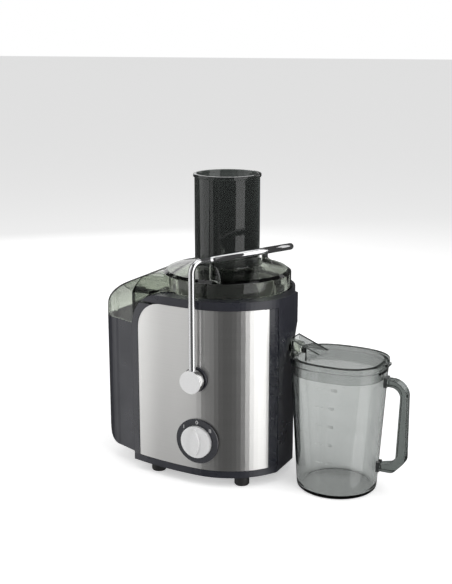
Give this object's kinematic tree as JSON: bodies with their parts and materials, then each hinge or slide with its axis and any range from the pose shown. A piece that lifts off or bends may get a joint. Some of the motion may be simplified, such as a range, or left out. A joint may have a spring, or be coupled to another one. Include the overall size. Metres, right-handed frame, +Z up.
{
  "type": "centrifugal juicer",
  "caption": "Centrifugal juicer with a tall feed tube, locking arm, steel front panel, side pulp container, sieve basket, motor and lidded jug.",
  "frame": {"origin": "on the table, under the middle of the whole object's box", "axes": "+Z up, +X from the pulp container to the jug, +Y to the back; the dial faces -Y"},
  "size_m": [0.408, 0.226, 0.383],
  "materials": {
    "black_plastic": "satin moulded",
    "frame_plastic": "satin gloss",
    "panel_steel": "horizontal brushing",
    "smoke_plastic": "clear smoke",
    "dark_smoke": "dark smoke",
    "jug_smoke": "clear smoke",
    "handle_smoke": "dark clear smoke",
    "clip_plastic": "gloss",
    "polished_chrome": "polished",
    "satin_cap": "satin",
    "foot_rubber": "matte",
    "plain_steel": "plain",
    "basket_steel": "stamped",
    "basket_plastic": "moulded",
    "motor_bracket_metal": "die cast",
    "lamination": "varnished laminations",
    "copper_winding": "enamelled",
    "brush_brass": "plain",
    "carbon": "graphite",
    "switch_plastic": "moulded",
    "board": "lacquered"
  },
  "bodies": {
    "machine": {"base_plate": "black_plastic", "feet": "foot_rubber", "foot_screws": "plain_steel", "housing": "black_plastic", "front_frame": "frame_plastic", "front_panel": "panel_steel", "top_ring": "black_plastic", "dial_ring": "frame_plastic", "speed_switch": "switch_plastic", "control_board": "board", "safety_switch": "switch_plastic", "cord_gland": "black_plastic", "motor_mounts": "foot_rubber", "motor_screws": "plain_steel", "lower_bracket": "motor_bracket_metal", "upper_bracket": "motor_bracket_metal", "stator_core": "lamination", "field_coils": "copper_winding", "lower_bearing": "plain_steel", "upper_bearing": "plain_steel", "brush_holders": "brush_brass", "carbon_brushes": "carbon", "brush_springs": "plain_steel", "pivot_bosses": "black_plastic", "pivot_pins": "plain_steel", "juice_bowl": "smoke_plastic", "shaft_seal": "foot_rubber", "cover": "smoke_plastic", "pulp_chute": "smoke_plastic", "cover_tabs": "smoke_plastic", "feed_tube": "dark_smoke"},
    "spinner": {"motor_shaft": "plain_steel", "armature_core": "lamination", "armature_winding": "copper_winding", "commutator": "copper_winding", "cooling_fan": "basket_plastic", "drive_coupling": "basket_plastic", "basket_base": "basket_plastic", "sieve": "basket_steel", "grater_disc": "basket_steel", "basket_rim": "basket_plastic"},
    "locking_arm": {"arm_rod": "polished_chrome", "arm_hubs": "polished_chrome", "arm_caps": "satin_cap"},
    "speed_dial": {"speed_knob": "satin_cap", "knob_stem": "plain_steel"},
    "pulp_bin": {"pulp_container": "black_plastic"},
    "jug": {"jug_body": "jug_smoke", "jug_handle": "handle_smoke", "handle_clips": "clip_plastic"},
    "jug_lid": {"jug_lid": "jug_smoke"}
  },
  "joints": [
    {"name": "basket_spin", "type": "hinge", "parent": "machine", "child": "spinner", "pos_m": [-0.047, 0, 0.18], "axis": [0, 0, 1], "continuous": true},
    {"name": "arm_swing", "type": "hinge", "parent": "machine", "child": "locking_arm", "pos_m": [-0.042, 0, 0.1394], "axis": [0, 1, 0], "range_deg": [0, 50]},
    {"name": "dial_turn", "type": "hinge", "parent": "machine", "child": "speed_dial", "pos_m": [-0.0403, -0.1, 0.0588], "axis": [0, 1, 0], "range_deg": [-45, 45]},
    {"name": "pulp_bin_pull", "type": "slide", "parent": "machine", "child": "pulp_bin", "axis": [-1, 0, 0], "range_m": [0, 0.16]},
    {"name": "jug_pull", "type": "slide", "parent": "machine", "child": "jug", "axis": [1, 0, 0], "range_m": [0, 0.15]},
    {"name": "lid_lift", "type": "slide", "parent": "jug", "child": "jug_lid", "axis": [0, 0, 1], "range_m": [0, 0.11]}
  ]
}
